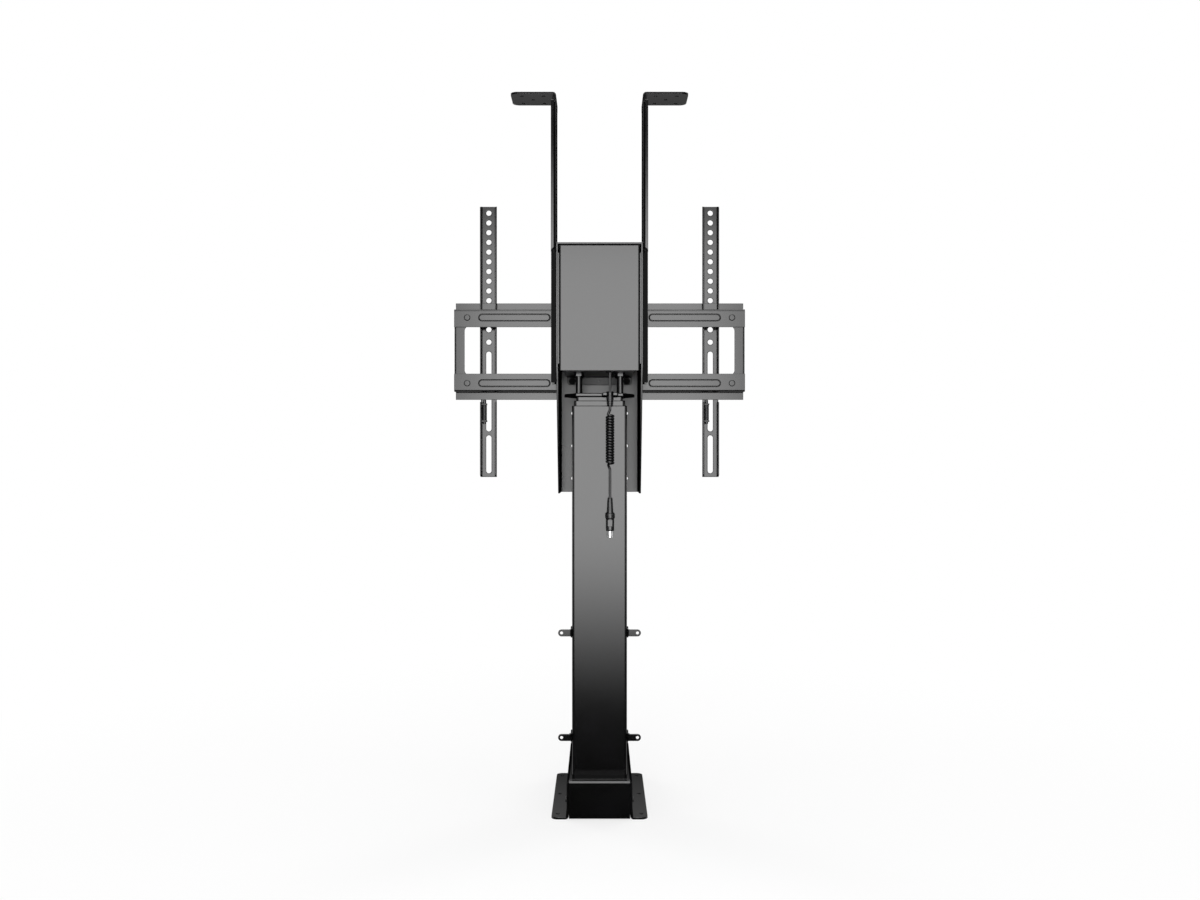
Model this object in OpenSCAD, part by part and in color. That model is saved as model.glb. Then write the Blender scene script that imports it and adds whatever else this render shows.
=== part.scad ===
// Three-stage electric television lift, shown lowered, seen from the wall side
// Millimetres, +Z up, origin on the floor at the centre of the base's footprint

/* [Column] */
// Outside width of the outer column tube, which is square
column_w = 80; // [76:1:90]
// Wall thickness of the three column tubes
tube_wall = 2; // [1.6:0.1:2.5]
// Gap between one column tube and the next
tube_gap = 1; // [0.8:0.1:1.5]
// Outside corner radius of the column tubes
tube_r = 4; // [3:0.5:6]
// Height of the outer tube's top edge above the floor
outer_top = 592.5; // [560:2.5:700]
// Height of the middle tube's edge above the outer tube's
middle_step = 7.5; // [5:0.5:15]
// Height of the inner tube's edge above the middle tube's
inner_step = 6; // [4:0.5:15]
// Distance of the column's axis behind the centre of the base
column_back = 48; // [40:1:55]
// Travel of each moving stage
stage_travel = 350; // [200:5:360]
// Height of the plastic glides
glide_h = 40; // [20:1:60]
// Thickness of the plastic glides
glide_t = 0.8; // [0.6:0.05:0.8]

/* [Base] */
// Space between the column and each side wall of the base
base_side_room = 4; // [3:0.5:10]
// Depth of the base
base_d = 234; // [220:1:300]
// Height of the base's top face
base_h = 55; // [45:1:80]
// Sheet thickness of the base
base_t = 3; // [2:0.5:4]
// Width of each floor flange outside the side wall
floor_flange_w = 22; // [20:1:40]
// Corner radius of the floor flanges
floor_flange_r = 9; // [4:1:12]
// Diameter of the floor bolt holes
floor_hole_d = 6; // [4:0.5:8]
// Distance of the floor holes from the outer edge of the flange
floor_hole_edge = 9; // [8:0.5:11]
// Distance of the end floor holes from the ends of the base
floor_hole_end = 17; // [12:1:40]
// Sheet thickness of the end covers
end_cover_t = 2; // [1:0.25:2.5]
// Depth of the end covers' top lips and side tabs
end_cover_lip = 9; // [8:0.5:14]
// Gap between the end covers and the base
end_cover_gap = 0.2; // [0.1:0.05:0.5]
// Thickness of the foot plate
foot_t = 6; // [6:0.5:8]
// Depth of the foot plate
foot_d = 110; // [100:1:120]

/* [Wall ears] */
// Height of the lower pair of wall ears
lower_ear_z = 110; // [80:1:200]
// Height of the upper pair of wall ears
upper_ear_z = 262; // [220:1:400]
// Sheet thickness of the wall ears
wall_ear_t = 2; // [1.5:0.25:3]
// Reach of the wall ears from the column's side
wall_ear_reach = 20.2; // [16:0.2:40]
// Height of the wall ears' outer tongue
wall_ear_h = 10; // [8:0.5:14]
// Diameter of the wall ears' holes
wall_ear_hole_d = 4.5; // [3:0.25:5.5]

/* [Column flange and standoffs] */
// Thickness of the flange plate on the inner tube
flange_t = 5; // [4:0.5:8]
// Distance between the tips of the flange plate
flange_tip_w = 104; // [96:1:112]
// Radius of the flange plate's tips
flange_tip_r = 6; // [4:0.5:8]
// Depth of the flange plate
flange_d = 72; // [68:1:78]
// Height of the standoffs between the flange plate and the carriage bracket
standoff_h = 30; // [24:1:45]
// Diameter of the standoffs
standoff_d = 9; // [8:0.5:10]
// Distance between the standoffs, side to side
standoff_dx = 60.8; // [56:0.2:62]
// Distance between the standoffs, front to rear
standoff_dy = 48; // [40:1:54]
// Diameter of the studs through the carriage bracket
stud_d = 6; // [5:0.5:6.5]

/* [Carriage] */
// Thickness of the carriage bracket
bracket_t = 4; // [3:0.5:5]
// Width of the carriage bracket
bracket_w = 100; // [98:1:108]
// Drop of the carriage bracket's rear leg below its top face
bracket_leg = 16.4; // [15:0.2:24]
// Space between the column and each side wall of the channel
channel_side_room = 19.5; // [18:0.5:30]
// Sheet thickness of the channel
channel_t = 2.5; // [2:0.25:3]
// Drop of the channel below the carriage bracket's top face
channel_drop = 182; // [150:1:200]
// Rise of the channel above the carriage bracket's top face
channel_rise = 180; // [150:1:220]
// Space between the column's rear face and the channel's back plate
channel_rear_room = 37; // [34:0.5:50]
// Reach of the channel's side walls in front of the column
channel_front = 29; // [26:0.5:40]
// Depth of the channel's side walls at their lower ends
channel_foot_d = 64; // [50:1:80]
// Diameter of the three pairs of holes low in the channel's back plate
back_hole_d = 5; // [3:0.5:7]
// Distance between the holes of a pair
back_hole_dx = 83; // [70:1:90]
// Distance between one pair of holes and the next
back_hole_dz = 50.5; // [40:0.5:52]
// Diameter of the bolts through the back plate
carriage_bolt_d = 6; // [5:0.5:7]
// Distance between the bolts through the back plate
carriage_bolt_dx = 84; // [80:1:88]

/* [Housing] */
// Gap between the housing cover and the channel's side walls
cover_side_gap = 1.6; // [1:0.1:2.5]
// Sheet thickness of the housing cover
cover_t = 1.5; // [1:0.25:2]
// Depth of the housing cover's side lips
cover_lip = 12; // [8:0.5:16]
// Distance of the cover's top edge below the channel's top face
cover_top_gap = 4.5; // [4:0.1:8]
// Width of the control box
control_w = 68; // [50:1:70]
// Depth of the control box
control_d = 60; // [40:1:70]
// Height of the control box
control_h = 150; // [100:1:160]

/* [Lid brackets] */
// Sheet thickness of the lid brackets
lid_t = 3; // [2:0.5:3.5]
// Depth of the lid brackets, front to rear
lid_d = 58; // [50:1:64]
// Depth of the channel that forms each lid bracket
lid_lip = 7.6; // [6:0.2:12]
// Height of the lid brackets' top faces above the carriage bracket
lid_rise = 395; // [300:1:500]
// Drop of the lid brackets' lower ends below the carriage bracket
lid_drop = 20; // [10:1:30]
// Width of each lid plate, from the channel outwards
lid_plate_w = 65.5; // [60:0.5:90]
// Corner radius of the lid plates
lid_plate_r = 10; // [5:1:14]
// Diameter of the lid plates' holes
lid_hole_d = 5.5; // [4:0.25:6.5]
// Distance between the lid plates' corner holes, side to side
lid_hole_dx = 31; // [26:0.5:36]
// Distance between the lid plates' corner holes, front to rear
lid_hole_dy = 36; // [30:0.5:40]

/* [Television rails] */
// Length of the two rails
rail_l = 452; // [420:1:600]
// Sheet thickness of the rails
rail_t = 2; // [1.5:0.25:2.5]
// Height of the rails' middle above the carriage bracket
rail_mid_rise = 37.8; // [36:0.1:42]
// Distance between the rails' facing edges
rail_gap = 72.4; // [70:0.2:76]
// Distance between the outer faces of the rails' ledges
rail_ledge = 128; // [126:0.5:134]
// Distance between the rails' hooked lips, end to end
rail_over = 151.6; // [146:0.2:158]
// Depth of the rails, from the back plate to the hooked lip
rail_d = 24.8; // [22:0.2:30]
// Distance between the centrelines of the pressed slots
rail_slot_dz = 102; // [98:0.5:106]
// Height of the pressed slots
rail_slot_h = 12; // [8:0.5:14]
// Distance of the pressed slots' inner ends from the middle
rail_slot_in = 76.2; // [72:0.2:90]
// Distance of the pressed slots' outer ends from the middle
rail_slot_out = 188.6; // [150:0.2:190]
// Distance of the rivets from the rails' ends
rivet_inset = 20.2; // [18:0.2:24]
// Diameter of the rivets' heads
rivet_head_d = 9.8; // [8:0.2:11]
// Sheet thickness of the end plates
end_plate_t = 2; // [1.5:0.25:2.5]
// Width of the end plates between the rails
end_plate_w = 16; // [12:0.5:18]

/* [Television arms] */
// Distance between the arms' centrelines as stored
arm_dx = 348.8; // [300:0.2:380]
// Width of the arms
arm_w = 25.5; // [24:0.5:30]
// Depth of the arms
arm_d = 14; // [13:0.5:18]
// Sheet thickness of the arms
arm_t = 2; // [1.5:0.25:2.5]
// Height of the arms' upper ends above the top rail's ledge
arm_rise = 164.2; // [150:0.2:200]
// Length of the arms
arm_l = 425.5; // [400:0.5:460]
// Width of the arms' holes and slots
arm_hole_d = 8.4; // [6:0.2:9]
// Distance between one hole and the next
arm_hole_pitch = 15.3; // [14:0.1:15.6]
// Number of holes in the arms' upper row
arm_holes = 13; // [8:1:13]
// Distance of the first hole from the arms' upper ends
arm_hole_end = 9.9; // [8:0.1:14]
// Distance of the single hole from the arms' upper ends
arm_single = 213.1; // [212:0.1:216]
// Length of each of the three slots
arm_slot_l = 59.8; // [50:0.2:60]
// Distance between one slot and the next
arm_slot_pitch = 66; // [62:0.2:68]
// Distance of the lowest slot from the arms' lower ends
arm_slot_end = 5.8; // [4.5:0.1:8]
// Running gap between the arms and the rails
arm_gap = 0.3; // [0.2:0.05:0.6]

/* [Latches] */
// Outside diameter of the latch barrels
barrel_d = 7.4; // [6.5:0.1:7.8]
// Diameter of the latch pins
pin_d = 5; // [3:0.1:5.5]
// Radial running gap around the pins
pin_gap = 0.1; // [0.05:0.01:0.15]
// Length of the latch barrels
barrel_l = 24; // [18:0.5:30]
// Thickness of the ears that hold the barrels
latch_ear_t = 2.5; // [2:0.25:3]
// Distance of the latches from the arms' centrelines
latch_side = 6.3; // [6:0.1:6.6]
// Gap between the latch pins' tips and the bottom rail's lip
latch_tip_gap = 0.6; // [0.4:0.1:1.5]
// Travel of the latch pins
latch_travel = 13; // [8:0.5:14]

/* [Drive] */
// Outside diameter of the lower support tube
lower_tube_d = 34; // [32:0.5:35]
// Wall thickness of both support tubes
support_wall = 3; // [2.5:0.25:3]
// Gap between the two support tubes
support_gap = 1; // [0.8:0.1:1.5]
// Length of the lower spindle nut
nut_l = 27; // [20:1:27]
// Outside diameter of the hollow spindle
hollow_spindle_d = 22; // [20:0.5:23]
// Diameter of the solid spindle
solid_spindle_d = 12; // [10:0.5:12]
// Gap between the solid spindle and the hollow spindle's bore
spindle_gap = 0.5; // [0.4:0.1:1]
// Radial running gap of the spindles in their nuts and bearing
spindle_run = 0.1; // [0.05:0.01:0.15]
// Diameter of the motor
motor_d = 48; // [40:1:52]
// Length of the motor
motor_l = 120; // [90:1:125]
// Height of the gearbox
gearbox_h = 40; // [30:1:42]

/* [Cord] */
// Diameter of the cord
cord_d = 3.5; // [3:0.1:3.5]
// Distance of the cord's axis beside the column's axis
cord_side = 15.2; // [10:0.2:22]
// Distance of the cord's axis in front of the column
cord_front = 12; // [11:0.5:16]
// Outside diameter of the curls
coil_d = 12; // [11:0.5:14]
// Distance between one curl and the next
coil_pitch = 4.1; // [4.1:0.1:5]
// Number of full curls
coil_turns = 17; // [8:1:17]
// Height of the strain relief's ribbed tail
gland_h = 14.5; // [10:0.5:16]
// Number of ribs on the strain relief
gland_ribs = 5; // [3:1:6]
// Length of the cord between the strain relief and the curls
neck_l = 6.5; // [4:0.5:12]
// Length of the straight cord between the curls and the plug
lead_l = 42; // [20:1:60]
// Diameter of the plug's grip
plug_d = 13.8; // [12:0.2:15]

/* [Hidden] */
$fn = 48;

// Colours
black_steel = [0.17, 0.17, 0.18];
dark_plastic = [0.08, 0.08, 0.09];
bright_steel = [0.62, 0.63, 0.65];
black_rubber = [0.05, 0.05, 0.05];
bronze = [0.55, 0.42, 0.22];

// Clearances and small shared sizes
fold_r = 2;
small_fold_r = 1.5;
rail_fold_r = 1;
hole_gap = 0.2;
over = 1;

// Column, from the floor up
column_y = -column_back;
middle_w = column_w - 2 * tube_wall - 2 * tube_gap;
inner_w = middle_w - 2 * tube_wall - 2 * tube_gap;
middle_top = outer_top + middle_step;
inner_top = middle_top + inner_step;
middle_bottom = foot_t + 6;
middle_plate_t = 5;
inner_bottom = middle_bottom + middle_plate_t + 3;
flange_top = inner_top + flange_t;
column_front_y = column_y - column_w / 2;
column_rear_y = column_y + column_w / 2;

// Base
wall_x = column_w / 2 + base_side_room;
floor_x = wall_x + base_t + floor_flange_w;
floor_hole_x = floor_x - floor_hole_edge;
base_screw_d = 4;
base_screw_z = base_h / 2;
base_screw_y = base_d / 2 - 6;

// Wall ears
wall_ear_y = column_front_y + wall_ear_t;
wall_ear_leg_d = 20;
wall_ear_leg_h = wall_ear_h + 4;
ear_screw_d = 4;

// Carriage
bracket_top = flange_top + standoff_h + bracket_t;
channel_x = column_w / 2 + channel_side_room;
channel_out = channel_x + channel_t;
back_y = column_rear_y + channel_rear_room;
front_y = column_front_y - channel_front;
channel_bottom = bracket_top - channel_drop;
channel_top = bracket_top + channel_rise;
channel_knee_z = bracket_top + 3;
bolt_af = 1.65 * carriage_bolt_d;
bolt_head_h = 0.65 * carriage_bolt_d;
carriage_bolt_z = bracket_top - bracket_t - small_fold_r - bolt_af / 2 - hole_gap;
back_hole_drop = 60;
back_hole_top = bracket_top - back_hole_drop;

// Housing
cover_x = channel_x - cover_side_gap;
cover_bottom = bracket_top - 3.3;
cover_top = channel_top - cover_top_gap;
control_z = bracket_top + 15;
strip_inset = 10;

// Lid brackets
lid_top = bracket_top + lid_rise;
lid_bottom = bracket_top - lid_drop;
lid_knee_rise = 166;
lid_knee_z = bracket_top + lid_knee_rise;
lid_hole_x = channel_out + lid_plate_w / 2 + 1.35;
lid_bolt_d = 6;
lid_bolt_rise = 30;
lid_bolt_dz = 100;
lid_mid_y = front_y + lid_d / 2;

// Rails
rail_mid_z = bracket_top + rail_mid_rise;
rail_y = back_y + channel_t;
lip_y = rail_y + rail_d;
rail_bolt_z = rail_mid_z - carriage_bolt_z;
rivet_x = rail_l / 2 - rivet_inset;
rivet_d = 6;
groove_w = 1.8;

// Arms
web_y = lip_y + arm_gap;
ledge_top = rail_mid_z + rail_ledge / 2;
arm_top = ledge_top + arm_rise;
arm_bottom = arm_top - arm_l;
arm_x = arm_dx / 2;
arm_end_cut = 3.5;
rail_bottom = rail_mid_z - rail_over / 2;
latch_y = web_y - barrel_d / 2 - 0.5;
latch_ear_top = rail_bottom - 6;
barrel_top = latch_ear_top - latch_ear_t;
barrel_bottom = barrel_top - barrel_l;
pin_top = rail_bottom - latch_tip_gap;
pin_bottom = barrel_bottom - latch_ear_t - 3;

// Drive, from the motor down to the two support tubes
motor_bottom = inner_top - motor_l;
gearbox_bottom = motor_bottom - gearbox_h;
gearbox_clearance = 10;
upper_nut_l = 24;
bearing_l = 12;
upper_tube_top = gearbox_bottom - gearbox_clearance - upper_nut_l;
bearing_bottom = upper_tube_top - 4 - bearing_l;
spindle_shoulder = bearing_bottom - 3;
support_top = spindle_shoulder - 1 - nut_l;
upper_tube_d = lower_tube_d + 2 * support_gap + 2 * support_wall;
upper_tube_bore = upper_tube_d - 2 * support_wall;
hollow_bore = solid_spindle_d + 2 * spindle_gap;
spindle_seat = 5;

// Cord
cord_x = cord_side;
cord_y = column_front_y - cord_front;
gland_neck_d = 7.6;
gland_top = flange_top + 1.6;
gland_bottom = inner_top - gland_h + 1;
neck_bottom = gland_bottom - neck_l;
coil_r = (coil_d - cord_d) / 2;
coil_lead_drop = 4.5;
coil_steps = 8;
coil_sides = 6;
coil_start = neck_bottom - cord_d - coil_lead_drop;
coil_end = coil_start - coil_turns * coil_pitch;
coil_bottom = coil_end - coil_lead_drop - cord_d;
lead_bottom = coil_bottom - lead_l;
boot_l = 21.7;
boot_bottom = lead_bottom - boot_l;
plug_l = 25.4;
plug_bottom = boot_bottom - plug_l;
shell_d = 8.8;
shell_l = 9.3;

function smooth(t) = t * t * (3 - 2 * t);
function unit(v) = v / norm(v);
// Angle at a tip's centre of the line that touches the tip and passes through the point dx, dy away
function touch_angle(dx, dy, r) = atan2(dy, dx) - acos(r / norm([dx, dy]));
function route_length(p) = len(p) < 2 ? 0 : [for (i = 1, s = norm(p[1] - p[0]); i < len(p); i = i + 1, s = s + (i < len(p) ? norm(p[i] - p[i - 1]) : 0)) s][len(p) - 2];

// A curl's centreline: straight end, turn out from the axis, full curls, turn back in, straight end
function curl(a, r, z) = [cord_x + r * cos(a), cord_y + r * sin(a), z];
coil_path = concat(
  [[cord_x, cord_y, neck_bottom], [cord_x, cord_y, neck_bottom - cord_d]],
  [for (k = [1 : 5]) curl(45 * k, coil_r * smooth(k / 6), neck_bottom - cord_d - coil_lead_drop * k / 6)],
  [for (k = [0 : coil_turns * coil_steps])
    curl(270 + 360 * k / coil_steps, coil_r, coil_start - coil_pitch * k / coil_steps)],
  [for (k = [1 : 5]) curl(270 + 45 * k, coil_r * smooth(1 - k / 6), coil_end - coil_lead_drop * k / 6)],
  [[cord_x, cord_y, coil_bottom + cord_d], [cord_x, cord_y, coil_bottom]]
);
// Least distance between parts of the cord that lie more than half a curl apart, less its diameter
coil_gap = min([for (i = [0 : len(coil_path) - 6]) min([for (j = [i + 5 : min(i + 24, len(coil_path) - 1)]) norm(coil_path[i] - coil_path[j])])]) - cord_d;

// The lead inside the housing, from the strain relief to the control box
control_front_y = back_y - control_d;
lead_path = [
  [cord_x, cord_y, gland_top],
  [cord_x, cord_y, bracket_top - 15],
  [cord_x, cord_y, bracket_top - 5],
  [cord_x, cord_y, bracket_top + 5],
  [cord_x, cord_y + 1, bracket_top + 14],
  [cord_x, cord_y + 5, bracket_top + 23],
  [cord_x, cord_y + 12, bracket_top + 30],
  [cord_x, cord_y + 22, bracket_top + 34],
  [cord_x, cord_y + 32, bracket_top + 35],
  [cord_x, cord_y + 45, bracket_top + 35],
  [cord_x, control_front_y, bracket_top + 35]
];
echo(least_gap_between_curls = coil_gap, cord_length = route_length(coil_path) + neck_l + lead_l);

// Basic forms
module round_rect(w, d, r) {
  square([w - 2 * r, d], center = true);
  square([w, d - 2 * r], center = true);
  for (x = [-1, 1])
    for (y = [-1, 1])
      translate([x * (w / 2 - r), y * (d / 2 - r)])
        circle(r = r);
}

// Extrudes a profile drawn in Y and Z along X, centred
module along_x(w) {
  rotate([90, 0, 90])
    translate([0, 0, -w / 2])
      linear_extrude(w)
        children();
}

// Extrudes a profile drawn in X and Z along Y, centred
module along_y(d) {
  rotate([90, 0, 0])
    translate([0, 0, -d / 2])
      linear_extrude(d)
        children();
}

module along_z(z0, z1) {
  translate([0, 0, z0])
    linear_extrude(z1 - z0)
      children();
}

// Profile of folded sheet: straight runs and round folds along a right-angled centreline
module folded_sheet(p, t, r) {
  m = r + t / 2;
  n = len(p) - 1;
  for (i = [0 : n - 1]) {
    u = unit(p[i + 1] - p[i]);
    s = i == 0 ? 0 : m;
    e = i == n - 1 ? 0 : m;
    translate(p[i] + u * s)
      rotate(atan2(u[1], u[0]))
        translate([0, -t / 2])
          square([norm(p[i + 1] - p[i]) - s - e, t]);
  }
  for (i = [1 : n - 1]) {
    u = unit(p[i] - p[i - 1]);
    v = unit(p[i + 1] - p[i]);
    translate(p[i] - u * m + v * m)
      rotate(atan2(u[1] - v[1], u[0] - v[0]) - 45)
        intersection() {
          difference() {
            circle(r = r + t);
            circle(r = r);
          }
          square(r + t);
        }
  }
}

module slot_outline(l, w) {
  square([l - w, w], center = true);
  for (s = [-1, 1])
    translate([s * (l - w) / 2, 0])
      circle(d = w);
}

// Cuts a V groove along a slot's outline into a face that looks along -Y
module slot_groove(l, h, w) {
  r = (h - w) / 2;
  x = (l - h) / 2;
  v = [[-w / 2 - over, -over], [w / 2 + over, -over], [0, w / 2]];
  for (s = [-1, 1]) {
    translate([s * x, 0, 0])
      rotate([-90, 0, 0])
        rotate(-90 * s)
          rotate_extrude(angle = 180)
            translate([r, 0])
              polygon(v);
    translate([0, 0, s * r])
      along_x(2 * x)
        polygon([for (q = v) [q[1], q[0]]]);
  }
}

// Round hole or rod along Y
module rod_y(x, z, d, y0, y1) {
  translate([x, y1, z])
    rotate([90, 0, 0])
      cylinder(d = d, h = y1 - y0);
}

// Round hole or rod along X
module rod_x(y, z, d, x0, x1) {
  translate([x0, y, z])
    rotate([0, 90, 0])
      cylinder(d = d, h = x1 - x0);
}

module rod_z(x, y, d, z0, z1) {
  translate([x, y, z0])
    cylinder(d = d, h = z1 - z0);
}

// Hexagon bolt along Y with its head in front of y0 and its nut behind y1
module bolt_y(x, z, d, y0, y1) {
  rod_y(x, z, d, y0, y1 + bolt_head_h + 2);
  translate([x, y0, z])
    rotate([90, 0, 0])
      cylinder(d = bolt_af / cos(30), h = bolt_head_h, $fn = 6);
  translate([x, y1 + bolt_head_h, z])
    rotate([90, 0, 0])
      cylinder(d = bolt_af / cos(30), h = bolt_head_h, $fn = 6);
}

// Square tube of the column
module column_tube(w, t, r, z0, z1) {
  translate([0, column_y, 0])
    along_z(z0, z1)
      difference() {
        round_rect(w, w, r);
        round_rect(w - 2 * t, w - 2 * t, max(r - t, 0.5));
      }
}

module round_tube(d, bore, z0, z1) {
  translate([0, column_y, z0])
    difference() {
      cylinder(d = d, h = z1 - z0);
      translate([0, 0, -over])
        cylinder(d = bore, h = z1 - z0 + 2 * over);
    }
}

// Base
module base_frame() {
  w = wall_x + base_t / 2;
  h = base_t / 2;
  color(black_steel)
    difference() {
      intersection() {
        along_y(base_d)
          folded_sheet([[-floor_x, h], [-w, h], [-w, base_h - h], [w, base_h - h], [w, h], [floor_x, h]], base_t, fold_r);
        along_z(0, base_h)
          round_rect(2 * floor_x, base_d, floor_flange_r);
      }
      translate([0, column_y, 0])
        along_z(base_h - 2 * base_t, base_h + over)
          round_rect(column_w + 2 * hole_gap, column_w + 2 * hole_gap, tube_r);
      for (y = [-1, 1])
        translate([-wall_x, y * (base_d / 2 + over) - (y > 0 ? end_cover_lip + 2 * over : -over), base_h / 2])
          cube([2 * wall_x, end_cover_lip + over, base_h]);
      for (x = [-1, 1])
        for (y = [-1, 0, 1])
          rod_z(x * floor_hole_x, y * (base_d / 2 - floor_hole_end), floor_hole_d, -over, base_t + over);
      for (x = [-1, 1])
        for (y = [-1, 1])
          rod_x(y * base_screw_y, base_screw_z, base_screw_d + 2 * hole_gap, x > 0 ? wall_x - over : -wall_x - base_t - over, x > 0 ? wall_x + base_t + over : -wall_x + over);
    }
}

module end_cover() {
  t = end_cover_t;
  x = wall_x - end_cover_gap;
  y = -base_d / 2 + t / 2;
  difference() {
    union() {
      along_x(2 * x)
        folded_sheet([[y, 1], [y, base_h - t / 2], [y - t / 2 + end_cover_lip, base_h - t / 2]], t, small_fold_r);
      for (s = [0, 1])
        mirror([s, 0, 0])
          translate([x - t, y, base_h * 0.2])
            cube([t, end_cover_lip - t / 2, base_h * 0.6]);
    }
    for (s = [-1, 1])
      rod_x(-base_screw_y, base_screw_z, base_screw_d + 2 * hole_gap, s > 0 ? x - t - over : -x - over, s > 0 ? x + over : -x + t + over);
  }
}

module base_front_cover() {
  color(black_steel)
    end_cover();
}

module base_rear_cover() {
  color(black_steel)
    mirror([0, 1, 0])
      end_cover();
}

module base_foot_plate() {
  color(black_steel)
    translate([-wall_x, column_y - foot_d / 2, 0])
      cube([2 * wall_x, foot_d, foot_t]);
}

module base_cover_screws() {
  x0 = wall_x - end_cover_gap - end_cover_t - 3;
  x1 = wall_x + base_t;
  color(bright_steel)
    for (s = [0, 1])
      for (y = [-1, 1])
        mirror([s, 0, 0]) {
          rod_x(y * base_screw_y, base_screw_z, base_screw_d, x0, x1 + 0.5);
          rod_x(y * base_screw_y, base_screw_z, 2 * base_screw_d, x1, x1 + 0.5 * base_screw_d);
        }
}

// Wall ears
module wall_ear(side, z) {
  t = wall_ear_t;
  x0 = column_w / 2;
  x1 = x0 + wall_ear_reach - wall_ear_h / 2;
  mirror([side < 0 ? 1 : 0, 0, 0])
    difference() {
      union() {
        intersection() {
          along_z(z - wall_ear_leg_h / 2, z + wall_ear_leg_h / 2)
            folded_sheet([[x0 + t / 2, wall_ear_y + wall_ear_leg_d - t], [x0 + t / 2, wall_ear_y - t / 2], [x1, wall_ear_y - t / 2]], t, small_fold_r);
          union() {
            translate([x0, wall_ear_y + small_fold_r, z - wall_ear_leg_h / 2])
              cube([t, wall_ear_leg_d, wall_ear_leg_h]);
            translate([x0, wall_ear_y - t, z - wall_ear_h / 2])
              cube([wall_ear_reach, t + small_fold_r + over, wall_ear_h]);
          }
        }
        rod_y(x1, z, wall_ear_h, wall_ear_y - t, wall_ear_y);
      }
      rod_y(x1, z, wall_ear_hole_d, wall_ear_y - t - over, wall_ear_y + over);
      rod_x(wall_ear_y + wall_ear_leg_d / 2, z, ear_screw_d + 2 * hole_gap, x0 - over, x0 + t + over);
    }
}

module wall_ear_upper_left() {
  color(black_steel)
    wall_ear(-1, upper_ear_z);
}

module wall_ear_upper_right() {
  color(black_steel)
    wall_ear(1, upper_ear_z);
}

module wall_ear_lower_left() {
  color(black_steel)
    wall_ear(-1, lower_ear_z);
}

module wall_ear_lower_right() {
  color(black_steel)
    wall_ear(1, lower_ear_z);
}

module wall_ear_screws() {
  x0 = column_w / 2 - tube_wall;
  x1 = column_w / 2 + wall_ear_t;
  color(bright_steel)
    for (s = [0, 1])
      for (z = [lower_ear_z, upper_ear_z])
        mirror([s, 0, 0]) {
          rod_x(wall_ear_y + wall_ear_leg_d / 2, z, ear_screw_d, x0, x1 + 0.5);
          rod_x(wall_ear_y + wall_ear_leg_d / 2, z, 1.8 * ear_screw_d, x1, x1 + 0.5 * ear_screw_d);
        }
}

// Outer stage
module outer_column_tube() {
  color(black_steel)
    difference() {
      column_tube(column_w, tube_wall, tube_r, foot_t, outer_top);
      for (x = [-1, 1])
        for (z = [lower_ear_z, upper_ear_z])
          rod_x(wall_ear_y + wall_ear_leg_d / 2, z, ear_screw_d + 2 * hole_gap, x * column_w / 2 - tube_wall - over, x * column_w / 2 + tube_wall + over);
    }
}

// Ring that fills a gap between two tubes, fixed to the outer of the two
module outward_glide(inside_w, top) {
  column_tube(inside_w, glide_t, tube_r - tube_wall, top - glide_h, top);
}

// Ring round the lower end of a tube, fixed to it
module inward_glide(outside_w, bottom) {
  translate([0, column_y, 0])
    along_z(bottom, bottom + glide_h)
      difference() {
        round_rect(outside_w + 2 * glide_t, outside_w + 2 * glide_t, tube_r + glide_t);
        round_rect(outside_w, outside_w, tube_r);
      }
}

module outer_glide_ring() {
  color(dark_plastic)
    outward_glide(column_w - 2 * tube_wall, outer_top);
}

module lower_support_tube() {
  color(bright_steel)
    round_tube(lower_tube_d, lower_tube_d - 2 * support_wall, foot_t, support_top);
}

module lower_spindle_nut() {
  color(bronze)
    round_tube(lower_tube_d, hollow_spindle_d + 2 * spindle_run, support_top, support_top + nut_l);
}

// Middle stage
module middle_column_tube() {
  color(black_steel)
    column_tube(middle_w, tube_wall, tube_r, middle_bottom, middle_top);
}

module middle_glide_shoe() {
  color(dark_plastic)
    inward_glide(middle_w, middle_bottom);
}

module middle_glide_ring() {
  color(dark_plastic)
    outward_glide(middle_w - 2 * tube_wall, middle_top);
}

module middle_end_plate() {
  w = middle_w - 2 * tube_wall;
  color(black_steel)
    translate([0, column_y, 0])
      along_z(middle_bottom, middle_bottom + middle_plate_t)
        difference() {
          round_rect(w, w, tube_r - tube_wall);
          circle(d = lower_tube_d + 2 * support_gap);
        }
}

module middle_support_tube() {
  color(bright_steel)
    round_tube(upper_tube_d, upper_tube_bore, middle_bottom + middle_plate_t, upper_tube_top);
}

module spindle_bearing() {
  color(bright_steel)
    round_tube(upper_tube_bore, hollow_spindle_d + 2 * spindle_run, bearing_bottom + 0.2, bearing_bottom + bearing_l - 0.2);
}

module upper_spindle_nut() {
  color(bronze) {
    round_tube(upper_tube_d, solid_spindle_d + 2 * spindle_run, upper_tube_top, upper_tube_top + 4);
    round_tube(upper_tube_d - 12, solid_spindle_d + 2 * spindle_run, upper_tube_top + 4, upper_tube_top + upper_nut_l);
  }
}

module outer_spindle() {
  color(bright_steel)
    translate([0, column_y, 0])
      difference() {
        union() {
          rod_z(0, 0, hollow_spindle_d, middle_bottom, upper_tube_top - 1);
          rod_z(0, 0, hollow_spindle_d + 6, spindle_shoulder, bearing_bottom);
          rod_z(0, 0, hollow_spindle_d + 6, bearing_bottom + bearing_l, upper_tube_top - 1);
        }
        rod_z(0, 0, hollow_bore, middle_bottom - over, upper_tube_top);
      }
}

// Inner stage
module inner_column_tube() {
  color(black_steel)
    column_tube(inner_w, tube_wall, tube_r, inner_bottom, inner_top);
}

module inner_glide_shoe() {
  color(dark_plastic)
    inward_glide(inner_w, inner_bottom);
}

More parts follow.
